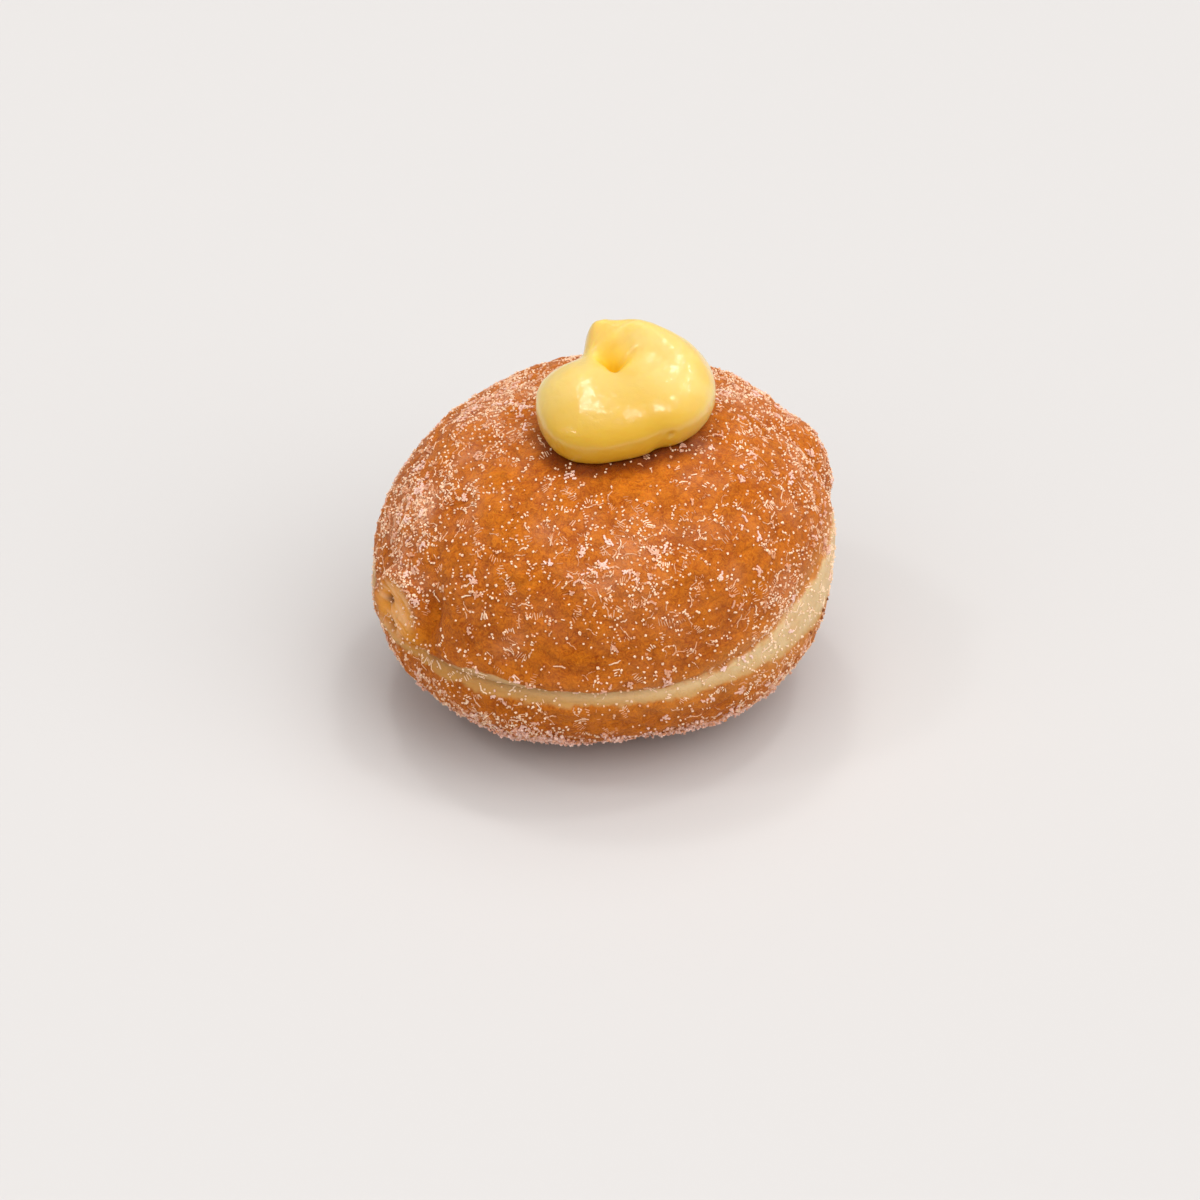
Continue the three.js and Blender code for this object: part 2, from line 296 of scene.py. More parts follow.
def swell_relief(around, climb):
    fade = np.cos(climb) ** 2
    return sum(
        wave["swell"] * fade * np.cos(wave["times"] * turn_between(around, wave["towards"]))
        for wave in BALL_SWELLS
    )


def band_relief(around, height):
    part = band_part(around, height)
    inside = smooth(part, BAND_FOOT_FADE) * (1 - smooth(part, BAND_TOP_FADE))
    front = front_share(around)
    right = side_share(around, BAND_BULGE_DIRECTION, BAND_BULGE_SPREAD)
    over_top = height - band_top(around)
    crease = lerp(CREASE_DEPTH_BACK, CREASE_DEPTH_FRONT, front) * hill(over_top / CREASE_HALF_WIDTH)
    lip = lerp(CREASE_LIP_BACK, CREASE_LIP_FRONT, front) * hill(
        (over_top - CREASE_LIP_RAISED) / CREASE_LIP_HALF_HEIGHT
    )
    return inside * (BAND_BULGE_RIGHT * right - BAND_DEPTH_FRONT * front) - crease + lip


def nub_place(around, height):
    """Millimetres along and up from the torn nub's middle, and how far out (1 at its rim)."""
    along = BALL_HALF_WIDTH * turn_between(around, NUB_DIRECTION)
    up = height - NUB_HEIGHT
    return along, up, np.hypot(along / NUB_HALF_WIDTH, up / NUB_HALF_HEIGHT)


def nub_pits(along, up):
    return sum(hill(np.hypot(along - pit["around"], up - pit["up"]) / pit["reach"]) for pit in NUB_PITS)


def nub_relief(around, height):
    along, up, out = nub_place(around, height)
    rise = (NUB_RISE - NUB_TILT * along) * (1 - smooth(out, NUB_RIM_FADE))
    on_lip_side = side_share(np.arctan2(up, along), NUB_LIP_TOWARDS, NUB_LIP_SPREAD)
    lip = NUB_LIP_RISE * hill((out - 1) / NUB_LIP_HALF_WIDTH) * on_lip_side
    crater = NUB_CRATER_DEPTH * (1 - smooth(out, NUB_CRATER_FADE))
    return rise + lip - crater - NUB_PIT_DEPTH * nub_pits(along, up)


def fold_share(around, height):
    along = BALL_HALF_WIDTH * turn_between(around, FOLD_DIRECTION)
    up = (height - FOLD_MIDDLE_HEIGHT) / FOLD_HALF_LENGTH
    return hill(along / FOLD_HALF_WIDTH) * hill(up)


def lump_relief(around, height):
    along = BALL_HALF_WIDTH * turn_between(around, LUMP_DIRECTION)
    up = height - LUMP_HEIGHT
    out = np.hypot(along / LUMP_HALF_WIDTH, up / LUMP_HALF_HEIGHT)
    crease = LUMP_CREASE_DEPTH * hill((out - LUMP_CREASE_OUT) / LUMP_CREASE_HALF_WIDTH)
    return LUMP_RISE * (1 - smooth(out, LUMP_FADE)) - crease * smooth(up - along, LUMP_CREASE_FADE)


def main_relief(around, climb, height):
    return (
        swell_relief(around, climb)
        + band_relief(around, height)
        + nub_relief(around, height)
        - FOLD_DEPTH * fold_share(around, height)
        + lump_relief(around, height)
    )


# ---- Dough: its rows and columns, and the fine relief of fried crust ----
DOUGH_COLUMNS = 470
CROWDING_AT_NUB = 0.42
CROWDING_BOTH_SIDES = 0.12
UNDERSIDE_ROWS = 44
ROW_UNDER_BAND = 0.3
BAND_ROWS = 28
LIP_REACH = 3.2
LIP_ROWS = 14
DOME_ROWS = 108
DOME_ROW_EASE = 1.08
POLE_LEFT_OPEN = 0.02

CRUST_LUMPS = [  # size across and height of each kind of unevenness
    {"size": 11, "height": 0.3},
    {"size": 5, "height": 0.3},
    {"size": 2.6, "height": 0.26},
    {"size": 1.3, "height": 0.13},
]
WRINKLE_SIZE = 4.6
WRINKLE_HALF_WIDTH = 0.11
WRINKLE_DEPTH = 0.2
BLISTER_SIZE = 3.1
BLISTER_FADE = (0.25, 0.8)
BLISTER_HEIGHT = 0.2
# the painted shade in the crust's hollows is full where its lumps lie this many millimetres low
CAVITY_SHADE_FULL = 0.35
BAND_CALM = 0.45  # the share of the crust's relief that is left on the smooth pale band
FIBRE_LENGTH = 6
FIBRE_WIDTH = 0.9
FIBRE_HEIGHT = 0.45
FIBRE_TURN = -18
DEEP_PIT_DEPTH = 1
DEEP_PIT_SHARPNESS = 4.5
FOOT_FLAT_HEIGHTS = (0.2, 1.5)


def nub_fibres(along, up):
    """Strands of torn dough that run down across the nub's hollow."""
    return strands(*turned(FIBRE_TURN, along, up), FIBRE_LENGTH, FIBRE_WIDTH, seed=40)


def dough_directions():
    """Columns stand closer together at the torn nub, and a little closer across from it."""
    even = np.linspace(0, 2 * math.pi, DOUGH_COLUMNS, endpoint=False)
    from_nub = even - math.radians(NUB_DIRECTION)
    return even - CROWDING_AT_NUB * np.sin(from_nub) - CROWDING_BOTH_SIDES * np.sin(2 * from_nub)


def dough_climbs(around):
    """Rows follow the band's two edges, so that its crease is sharp all the way round."""
    foot, top = band_foot(around), band_top(around)
    lowest = climb_at_height(np.zeros_like(around))
    under_band = climb_at_height(foot - ROW_UNDER_BAND)
    rows = [lerp(lowest, under_band, part) for part in np.linspace(0, 1, UNDERSIDE_ROWS)]
    rows += [climb_at_height(lerp(foot, top, part)) for part in np.linspace(0, 1, BAND_ROWS)]
    rows += [climb_at_height(top + step) for step in np.linspace(0, LIP_REACH, LIP_ROWS + 1)[1:]]
    dome = np.linspace(0, 1, DOME_ROWS + 1)[1:] ** DOME_ROW_EASE
    rows += [lerp(rows[-1], math.pi / 2 - POLE_LEFT_OPEN, part) for part in dome]
    return np.array(rows)


def dough_grid():
    """The dough's points by row and column, and what its material and the sugar need there."""
    columns = dough_directions()
    climb = dough_climbs(columns)
    around = np.broadcast_to(columns, climb.shape)
    plain = ball_point(around, climb)
    height = plain[..., 2]
    along, up, out = nub_place(around, height)
    torn = 1 - smooth(out, TORN_FADE)
    calm = lerp(1, BAND_CALM, np.maximum(band_paleness(around, height), torn))

    lumps = sum(kind["height"] * noise(plain, kind["size"], seed) for seed, kind in enumerate(CRUST_LUMPS))
    wrinkles = calm * crease_lines(plain, WRINKLE_SIZE, WRINKLE_HALF_WIDTH, seed=20)
    blisters = smooth(noise(plain, BLISTER_SIZE, seed=30), BLISTER_FADE)
    fibres = nub_fibres(along, up)
    pits = nub_pits(along, up) ** DEEP_PIT_SHARPNESS
    fine = calm * (lumps + BLISTER_HEIGHT * blisters) - WRINKLE_DEPTH * wrinkles
    fine = (fine + torn * FIBRE_HEIGHT * fibres - DEEP_PIT_DEPTH * pits) * smooth(height, FOOT_FLAT_HEIGHTS)

    normal = ball_normal(around, climb)
    main = plain + normal * main_relief(around, climb, height)[..., None]
    point = main + normal * fine[..., None]
    point[..., 2] = np.maximum(point[..., 2], 0)
    point[0, :, 2] = 0
    return {
        "main": main,
        "point": point,
        "around": around,
        "height": height,
        "wrinkles": wrinkles,
        "cavity_shade": np.clip(0.5 - lumps / CAVITY_SHADE_FULL / 2, 0, 1),
        "torn": torn,
        "fibres": fibres,
        "pits": pits,
    }


# ---- Dough: where it is pale, tanned, shaded or dusted ----
PALE_FOOT_FADE = (-0.8, 1.4)  # over the band's foot
PALE_TOP_FADE_FRONT = (-0.3, 0.5)  # over the band's top
PALE_TOP_FADE_ELSEWHERE = (-2, 0.4)
PALE_OVER_CREASE = {"towards": 243, "spread": 11, "rise": 1.6}
GOLDEN_FOOT_FADE = (0.2, 3.2)
RAGGED_EDGES = [{"size": 4.5, "reach": 0.8}, {"size": 1.7, "reach": 0.5}]
WIDER_PALENESS = {"towards": 238, "spread": 14, "reach": 0.9}
GOLDEN_END = Place(218.5, 27, 3.5, 2.6)
BROWN_COLLAR = Place(196, 28, 6, 6)
TAN_MIDDLE = 224
TAN_SPREAD = 34
CREASE_SHADE_RAISED = 0.2
CREASE_SHADE_HALF_HEIGHT = 0.8
TORN_FADE = (0.55, 0.95)
GOLDEN_SIDE = {"towards": 335, "spread": 55}  # where the crust next to the band is golden
GOLDEN_SIDE_REACH = (0, 6)


def ragged_edges(around, height):
    """How much further the paleness reaches here, in millimetres."""
    wider = WIDER_PALENESS["reach"] * side_share(around, WIDER_PALENESS["towards"], WIDER_PALENESS["spread"])
    place = np.stack([BALL_HALF_WIDTH * np.cos(around), BALL_HALF_WIDTH * np.sin(around), height], axis=-1)
    return wider + sum(kind["reach"] * noise(place, kind["size"], seed=80) for kind in RAGGED_EDGES)


def band_paleness(around, height):
    past_crease = PALE_OVER_CREASE["rise"] * side_share(
        around, PALE_OVER_CREASE["towards"], PALE_OVER_CREASE["spread"]
    )
    past_edges = ragged_edges(around, height)
    over_top = height - band_top(around) - past_crease - past_edges
    sharp = 1 - smooth(over_top, PALE_TOP_FADE_FRONT)
    soft = 1 - smooth(over_top, PALE_TOP_FADE_ELSEWHERE)
    clear = 1 - spot(around, height, BROWN_COLLAR)
    over_foot = height - band_foot(around) + past_edges
    return clear * smooth(over_foot, PALE_FOOT_FADE) * lerp(soft, sharp, front_share(around))


def band_tan(around):
    """The band is cream on the right and at the back, and tanned at the front left."""
    return side_share(around, TAN_MIDDLE, TAN_SPREAD)


def golden_beside_band(around, height):
    over_top, under_foot = height - band_top(around), band_foot(around) - height
    side = side_share(around, GOLDEN_SIDE["towards"], GOLDEN_SIDE["spread"])
    return side * (1 - smooth(np.maximum(over_top, under_foot), GOLDEN_SIDE_REACH))


def crease_shade(around, height):
    over_top = height - band_top(around)
    return front_share(around) * hill((over_top - CREASE_SHADE_RAISED) / CREASE_SHADE_HALF_HEIGHT)


# ---- Custard: where its surface lies ----
HALVINGS = 40
CURL_COLUMNS = 260
CURL_BASE_ROWS = 6
CURL_SIDE_ROWS = 16
CURL_TOP_ROWS = 86
CURL_FIRST_RING = 0.05

RIPPLES = [
    {"size": 7, "height": 0.16},
    {"size": 2.6, "height": 0.06},
    {"size": 1.2, "height": 0.03},
]
STREAK_LENGTH = 9
STREAK_WIDTH = 0.9
STREAK_HEIGHT = 0.3
STREAK_TURN = 35
STREAK_PLACE = {"x": 1.5, "y": 7.5, "reach": 4.5}
PEAK_SHEET = {"lift": 1.3, "x": 0.6, "y": 8.8, "long": 2.2, "wide": 2.4, "turn": 0}
DENT = {"middle": (12.8, -13.6, 63.5), "reach": 0.6, "depth": 0.5}
PIT_SHADE_REACH = 2.9
LOW_SHADE_FADE = (6, 12.5)
FOOT_SHADE_FADE = (0.5, 8)
FRONT_SHADE_FADE = (0.2, 0.95)


def crown_height(x, y):
    """Height of the plain dome under a place near the middle: its equation solved by halving."""
    low, high = np.zeros_like(x), np.ones_like(x)
    for _ in range(HALVINGS):
        rise = (low + high) / 2
        girth = (1 - rise * rise) ** (2 / DOME_FULLNESS)
        out = ((x - CROWN_SHIFT * rise) / BALL_HALF_WIDTH) ** 2 + (y / BALL_HALF_DEPTH) ** 2
        low = np.where(out < girth, rise, low)
        high = np.where(out < girth, high, rise)
    return WAIST_HEIGHT + DOME_HEIGHT * low ** (2 / DOME_FULLNESS)


def curl_outline(around):
    reach = CURL_REACH + CURL_LEAN * np.cos(turn_between(around, CURL_LEAN_DIRECTION))
    return reach + sum(
        part["out"] * side_share(around, part["towards"], part["spread"])
        for part in CURL_OUTLINE
    )


def beside_curl(points):
    """How far out from the custard's edge the points are, and their directions from its middle."""
    across, back = points[..., 0] - CURL_CENTRE_X, points[..., 1] - CURL_CENTRE_Y
    around = np.arctan2(back, across)
    return np.hypot(across, back) - curl_outline(around), around


def curl_lift(x, y):
    lift = np.full_like(x, CURL_ROLL_HEIGHT)
    for part in [*CURL_TOP, PEAK_SHEET]:
        along, across = turned(part["turn"], x - part["x"], y - part["y"])
        lift = lift + part["lift"] * hill(np.hypot(along / part["long"], across / part["wide"]))
    return lift


def curl_place(around, out):
    x = CURL_CENTRE_X + out * np.cos(around)
    y = CURL_CENTRE_Y + out * np.sin(around)
    return np.stack([x, y, crown_height(x, y) + SEAT_GAP], axis=-1)


def curl_rings():
    """The custard's plain surface, ring by ring from under its middle to its top."""
    around = np.linspace(0, 2 * math.pi, CURL_COLUMNS, endpoint=False)
    reach = curl_outline(around)
    rings = []
    for part in np.linspace(CURL_FIRST_RING, 1, CURL_BASE_ROWS):
        rings.append(curl_place(around, part * (reach - CURL_UNDERCUT)))
    for climb in np.linspace(0, math.pi / 2, CURL_SIDE_ROWS + 1)[1:-1]:
        ring = curl_place(around, reach - CURL_UNDERCUT * (1 - math.sin(climb)))
        ring[:, 2] += (CURL_WAIST - SEAT_GAP) * (1 - math.cos(climb))
        rings.append(ring)
    back = (1 + np.sin(around)) / 2
    fullness = lerp(CURL_FULLNESS_FRONT, CURL_FULLNESS_BACK, back)
    for climb in np.linspace(0, math.pi / 2 - POLE_LEFT_OPEN, CURL_TOP_ROWS):
        ring = curl_place(around, reach * math.cos(climb) ** (2 / fullness))
        rise = math.sin(climb) ** (2 / fullness)
        ring[:, 2] += CURL_WAIST - SEAT_GAP + rise * curl_lift(ring[:, 0], ring[:, 1])
        rings.append(ring)
    return np.array(rings)


def grid_normals(point):
    """Outward normals of a tube of anticlockwise rings that climb."""
    beside = np.roll(point, -1, axis=1) - np.roll(point, 1, axis=1)
    return unit(np.cross(beside, np.gradient(point, axis=0)))


def streaks(x, y):
    """Fine drag marks beside the peak, where the piping tip was pulled away."""
    marks = strands(*turned(STREAK_TURN, x, y), STREAK_LENGTH, STREAK_WIDTH, seed=60)
    near = hill(np.hypot(x - STREAK_PLACE["x"], y - STREAK_PLACE["y"]) / STREAK_PLACE["reach"])
    return STREAK_HEIGHT * near * marks


def custard_grid():
    point = curl_rings()
    x, y = point[..., 0], point[..., 1]
    ripples = sum(kind["height"] * noise(point, kind["size"], 50 + n) for n, kind in enumerate(RIPPLES))
    dent = DENT["depth"] * hill(np.linalg.norm(point - DENT["middle"], axis=-1) / DENT["reach"])
    relief = ripples + streaks(x, y) - dent
    relief[:CURL_BASE_ROWS] = 0
    # Painted shade: the pit is a deeper, more saturated yellow.
    deepest = min(CURL_TOP, key=lambda part: part["lift"])
    pit = hill(np.hypot(x - deepest["x"], y - deepest["y"]) / PIT_SHADE_REACH)
    pit[: CURL_BASE_ROWS + CURL_SIDE_ROWS] = 0
    over_seat = point[..., 2] - crown_height(x, y)
    # Painted shade: low on its front the custard is darker, and golden at its foot.
    front = smooth(-np.sin(beside_curl(point)[1]), FRONT_SHADE_FADE)
    return point + grid_normals(point) * relief[..., None], {
        "pit": pit,
        "low": front * (1 - smooth(over_seat, LOW_SHADE_FADE)),
        "foot": front * (1 - smooth(over_seat, FOOT_SHADE_FADE)),
    }


# ---- Turning arrays into Blender pieces ----


def grid_faces(rows, columns):
    """Quads between the rings of a tube."""
    row, column = np.meshgrid(np.arange(rows - 1), np.arange(columns), indexing="ij")
    beside = (column + 1) % columns
    low, high = row * columns, (row + 1) * columns
    return np.stack([low + column, low + beside, high + beside, high + column], axis=-1).reshape(-1, 4)


def end_faces(rows, columns):
    """Triangles that close the tube's ends, each round one more point at its middle."""
    column = np.arange(columns)
    beside = (column + 1) % columns
    first, last, top = rows * columns, rows * columns + 1, (rows - 1) * columns
    lower = np.stack([np.full(columns, first), beside, column], axis=-1)
    upper = np.stack([np.full(columns, last), top + column, top + beside], axis=-1)
    return np.concatenate([lower, upper])


def add_mesh(name, points, face_lists, values, smooth_shading):
    """A Blender piece from points in millimetres, lists of faces, and values for its material to read."""
    mesh = bpy.data.meshes.new(name)
    faces = [face for some in face_lists for face in some.tolist()]
    mesh.from_pydata(((points + model_shift) * METRES).tolist(), [], faces)
    mesh.polygons.foreach_set("use_smooth", np.full(len(faces), smooth_shading))
    for key, value in values.items():
        layer = mesh.attributes.new(key, "FLOAT", "POINT")
        layer.data.foreach_set("value", np.asarray(value).astype(np.float32).ravel())
    mesh.validate()
    piece = bpy.data.objects.new(name, mesh)
    bpy.context.scene.collection.objects.link(piece)
    return piece


def add_closed_grid(name, point, values):
    """A piece from a grid of rings, closed at both ends."""
    rows, columns = point.shape[:2]
    points = np.concatenate([point.reshape(-1, 3), point[[0, -1]].mean(axis=1)])
    with_ends = {
        key: np.concatenate([value.ravel(), value[[0, -1]].mean(axis=1)]) for key, value in values.items()
    }
    faces = [grid_faces(rows, columns), end_faces(rows, columns)]
    return add_mesh(name, points, faces, with_ends, smooth_shading=True)


def finish_piece(piece, look, stands_for=None):
    piece.data.materials.append(look)
    if stands_for:
        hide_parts(stands_for)
    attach(piece, "root")


# ---- Sugar: how much of it lies where ----
SUGAR_PATCH_SIZE = 5.5
SUGAR_PATCHINESS = 1.5
SUGAR_ON_BAND = 0.7
SUGAR_ON_TORN = 0.4
SUGAR_OVER_FLOOR = (0.8, 3)
CURL_CLEARANCE = (-2, -1)
CURL_SHADE_REACH = 1.9
CURL_SHADE_FADE = (0, 0.8)
SUGARY_PLACES = [
    Place(199, 46, 13, 6, 3.4),
    Place(30, 55, 17, 5, 3.4),
    Place(158, 56, 24, 3.5, 2.2),
    Place(6, 45, 8, 9, 0.8),
    Place(321, 36, 7, 5, 3.0),
    Place(272, 50, 15, 5, 1.5),
    Place(272, 36, 5, 5, 0.8),
    Place(352, 50, 8, 5, 1.0),
    Place(214, 38, 5, 1.8, 7.0),
    Place(219.5, 34, 1.5, 3, 5.0),
    Place(236, 14, 18, 6, 1.6),
    Place(324, 13, 16, 6, 1.4),
]
BARE_PLACES = [
    Place(224, 33, 4, 7),
    Place(269, 58.6, 22, 1.6),
    Place(277, 17.5, 5, 3),
    Place(278, 13, 14, 4),
    Place(264, 33.5, 11, 3.5),
    Place(303, 18.5, 3.5, 2.5),
]


def outside_curl(points):
    """0 under the custard and 1 clear of it."""
    return np.maximum(smooth(beside_curl(points)[0], CURL_CLEARANCE), points[..., 2] < WAIST_HEIGHT)


def curl_shade(points):
    """Painted shadow: the crust is darker brown close under the custard's front edge."""
    out, around = beside_curl(points)
    return hill(np.maximum(out, 0) / CURL_SHADE_REACH) * smooth(-np.sin(around), CURL_SHADE_FADE)


def sugar_wanted(dough):
    """How much sugar lies at each point of the dough: more in some places, less on the band."""
    points, around, height = dough["point"], dough["around"], dough["height"]
    wanted = 1 + spots(around, height, SUGARY_PLACES)
    for place in BARE_PLACES:
        wanted = wanted * (1 - spot(around, height, place))
    wanted = wanted * lerp(1, SUGAR_ON_BAND, band_paleness(around, height))
    wanted = wanted * lerp(1, SUGAR_ON_TORN, dough["torn"])
    return wanted * smooth(height, SUGAR_OVER_FLOOR) * outside_curl(points)


def whiter_on_band(places, tones):
    """Sugar lies on the pale band as cream-white crystals, never darker than the band."""
    around = np.arctan2(places[:, 1], places[:, 0])
    return tones * (1 - band_paleness(around, places[:, 2]))


def patchy(dough, seed):
    return np.exp(SUGAR_PATCHINESS * noise(dough["point"], SUGAR_PATCH_SIZE, seed))


class Ground:
    """The dough's surface, as something to strew sugar on."""

    def __init__(self, dough, sugar):
        self.dough = dough
        self.sugar = sugar
        rows, columns = dough["point"].shape[:2]
        self.quads = grid_faces(rows, columns)
        self.points = dough["point"].reshape(-1, 3)
        corners = self.points[self.quads]
        across = np.cross(corners[:, 2] - corners[:, 0], corners[:, 3] - corners[:, 1])
        self.areas = np.linalg.norm(across, axis=1) / 2
        self.tree = BVHTree.FromPolygons(
            [Vector(point) for point in self.points], self.quads.tolist(), all_triangles=False
        )

    def strew(self, wanted, count, draws):
        """Random places, more of them round the points where more is wanted."""
        weights = self.areas * wanted.ravel()[self.quads].mean(axis=1)
        chosen = draws.choice(len(weights), count, p=weights / weights.sum())
        corners = self.points[self.quads[chosen]]
        one, two = draws.random((2, count, 1))
        near = lerp(corners[:, 0], corners[:, 1], one)
        far = lerp(corners[:, 3], corners[:, 2], one)
        return self.settle(lerp(near, far, two))

    def settle(self, places):
        """The nearest places on the surface, and its normals there."""
        found = [self.tree.find_nearest(Vector(place))[:2] for place in places]
        on_surface = np.array([place for place, _ in found])
        normals = np.array([normal for _, normal in found])
        return on_surface, normals


# ---- Sugar: its crystals ----
BLOCK = {  # corners of a box, and its faces
    "corners": np.array(list(itertools.product((-0.5, 0.5), repeat=3))),
    "faces": np.array([(0, 1, 3, 2), (4, 6, 7, 5), (0, 4, 5, 1), (2, 3, 7, 6), (0, 2, 6, 4), (1, 5, 7, 3)]),
}
SPINE = {  # a long roof on a flat base: two slopes, the base and two ends, all in triangles
    "corners": np.array([(x, *yz) for x in (-0.5, 0.5) for yz in ((-0.5, -0.5), (0.5, -0.5), (0, 0.5))]),
    "faces": np.array(
        [(0, 2, 1), (3, 4, 5), (0, 1, 4), (0, 4, 3), (1, 2, 5), (1, 5, 4), (2, 0, 3), (2, 3, 5)]
    ),
}
# How lines of crystals wander: how many, the fewest and most steps of each, millimetres from step to step,
# and how far in radians each line bends and each step kinks.
Walk = collections.namedtuple("Walk", "walks steps stride bend kink")
CRYSTAL_UNEVENNESS = 0.22
CHUNK_STRETCH = (0.75, 1.25)

GRAINS = 7400
GRAIN_SIZE = (0.2, 0.38)
GRAIN_OVER_SURFACE = 0.08
GRAIN_WHITENESS = 3
GRAIN_GATHERING = 0.6
DOT_ROWS = Walk(420, (2, 6), (0.45, 0.75), 0.3, 0.4)

THREADS = [  # crystals end to end in crooked lines, and side by side like the teeth of a comb
    {
        "name": "sugar_needles",
        "shape": BLOCK,
        "lines": Walk(620, (1, 4), (0.5, 0.7), 0.3, 0.7),
        "combs": Walk(300, (2, 5), (0.34, 0.6), 0.12, 0.25),
        "length": (0.4, 1.1),
        "width": (0.14, 0.24),
        "thickness": (0.12, 0.19),
        "tone": (0, 1),
        "gathering": 1.3,
    },
    {
        "name": "sugar_strokes",
        "shape": SPINE,
        "lines": Walk(900, (1, 5), (0.45, 0.6), 0.3, 0.6),
        "combs": Walk(600, (3, 6), (0.35, 0.6), 0.15, 0.25),
        "length": (0.5, 1.3),
        "width": (0.13, 0.2),
        "thickness": (0.1, 0.13),
        "tone": (0.45, 1),
        "gathering": 0.6,
    },
]
THREAD_OVER_SURFACE = 0.05
LINE_OVERLAP = 1.15
TOOTH_LENGTHS = (0.5, 1.4)
TOOTH_TURN = 0.3
TOOTH_SLIDE = 0.3
TONE_UNEVENNESS = 0.2

KNOTS = 330
KNOT_GATHERING = 1.3
KNOT_THREADS = (2, 6)
KNOT_REACH = (0.25, 0.7)
KNOT_THREAD = Walk(KNOTS, (1, 4), (0.28, 0.4), 0.5, 0.7)
KNOT_WIDTH = (0.22, 0.38)
KNOT_OVERLAP = 1.3
KNOT_OVER_SURFACE = 0.1

RIM_CLUSTERS = 330
RIM_CRYSTALS = 3000
RIM_CRYSTAL_SIZE = (0.22, 0.5)
RIM_CLUSTER_REACH = 1.1
RIM_CLUSTER_SPREAD = (0.3, 1)
RIM_PILE_HEIGHT = 0.8
RIM_WHITENESS = 1.6
RIM_MIDDLE_HEIGHT = 7.5
RIM_HALF_HEIGHT = 4.2
RIM_EVERYWHERE = 0.015
RIM_PLACES = [
    Place(245, 9.5, 24, 6, 1.6),
    Place(316, 9.5, 20, 6, 1.3),
]

CRUMBS = 7
CRUMB_SIZE = (0.35, 0.7)
CRUMB_PLACE = Place(339, 22.5, 8, 1.2)


def lay_flat(normals, along):
    """Each crystal's long, wide and thick directions: along is laid flat on the surface."""
    long = unit(along - normals * (along * normals).sum(-1, keepdims=True))
    return np.stack([long, np.cross(normals, long), normals], axis=1)


def tumbled(count, draws):
    return lay_flat(unit(draws.normal(size=(count, 3))), draws.normal(size=(count, 3)))


def chunk_sizes(size, count, draws):
    """Length, width and thickness of crystals that are about as thick as they are long."""
    return draws.uniform(*size, (count, 1)) * draws.uniform(*CHUNK_STRETCH, (count, 3))


def add_crystals(name, kind, places, axes, sizes, tones, draws):
    """One piece of many uneven crystals of one kind."""
    count, corners = len(places), len(kind["corners"])
    uneven = kind["corners"] * (1 + CRYSTAL_UNEVENNESS * draws.uniform(-1, 1, (count, corners, 3)))
    points = places[:, None] + np.einsum("nck,nkx->ncx", uneven * sizes[:, None], axes)
    faces = kind["faces"] + corners * np.arange(count)[:, None, None]
    faces = faces.reshape(-1, kind["faces"].shape[1])
    values = {"tone": np.repeat(tones, corners)}
    return add_mesh(name, points.reshape(-1, 3), [faces], values, smooth_shading=False)


def walk(ground, starts, kind, draws):
    """Places along bending lines on the surface, with their normals, headings and lines' numbers."""
    place, normal = starts
    walks = len(place)
    heading = lay_flat(normal, draws.normal(size=(walks, 3)))[:, 0]
    bend = draws.uniform(-kind.bend, kind.bend, (walks, 1))
    stride = draws.uniform(*kind.stride, (walks, 1))
    fewest, most = kind.steps
    steps = draws.integers(fewest, most + 1, walks)
    found = []
    for step in range(most):
        going = np.nonzero(step < steps)[0]
        found.append((place[going], normal[going], heading[going], going))
        turn = bend + draws.uniform(-kind.kink, kind.kink, (walks, 1))
        heading = heading * np.cos(turn) + np.cross(normal, heading) * np.sin(turn)
        place, normal = ground.settle(place + heading * stride)
        heading = lay_flat(normal, heading)[:, 0]
    return [np.concatenate(parts) for parts in zip(*found)]


def add_grains(ground, draws):
    wanted = ground.sugar * patchy(ground.dough, seed=71) ** GRAIN_GATHERING
    places, normals = ground.strew(wanted, GRAINS, draws)
    starts = ground.strew(wanted, DOT_ROWS.walks, draws)
    row_places, row_normals, _, _ = walk(ground, starts, DOT_ROWS, draws)
    places = np.concatenate([places, row_places])
    normals = np.concatenate([normals, row_normals])
    count = len(places)
    sizes = chunk_sizes(GRAIN_SIZE, count, draws)
    raised = places + normals * GRAIN_OVER_SURFACE
    tones = whiter_on_band(raised, draws.random(count) ** GRAIN_WHITENESS)
    return add_crystals("sugar_grains", BLOCK, raised, tumbled(count, draws), sizes, tones, draws)


def add_threads(ground, draws, kind):
    wanted = ground.sugar * patchy(ground.dough, seed=72) ** kind["gathering"]
    parts = []
    for pattern in (kind["lines"], kind["combs"]):
        starts = ground.strew(wanted, pattern.walks, draws)
        places, normals, headings, numbers = walk(ground, starts, pattern, draws)
        count = len(places)
        if pattern is kind["lines"]:
            lengths = np.full(count, np.mean(pattern.stride) * LINE_OVERLAP)
        else:
            across = np.cross(normals, headings)
            lengths = draws.uniform(*kind["length"], pattern.walks)[numbers]
            lengths *= draws.uniform(*TOOTH_LENGTHS, count)
            places = places + across * draws.uniform(-TOOTH_SLIDE, TOOTH_SLIDE, (count, 1))
            headings = across + headings * draws.uniform(-TOOTH_TURN, TOOTH_TURN, (count, 1))
        tones = draws.uniform(*kind["tone"], pattern.walks)[numbers]
        parts.append((places + normals * THREAD_OVER_SURFACE, lay_flat(normals, headings), lengths, tones))
    places, axes, lengths, tones = [np.concatenate(both) for both in zip(*parts)]
    count = len(places)
    tones = np.clip(tones + draws.uniform(-TONE_UNEVENNESS, TONE_UNEVENNESS, count), 0, 1)
    widths = draws.uniform(*kind["width"], count)
    sizes = np.column_stack([lengths, widths, draws.uniform(*kind["thickness"], count)])
    tones = whiter_on_band(places, tones)
    return add_crystals(kind["name"], kind["shape"], places, axes, sizes, tones, draws)


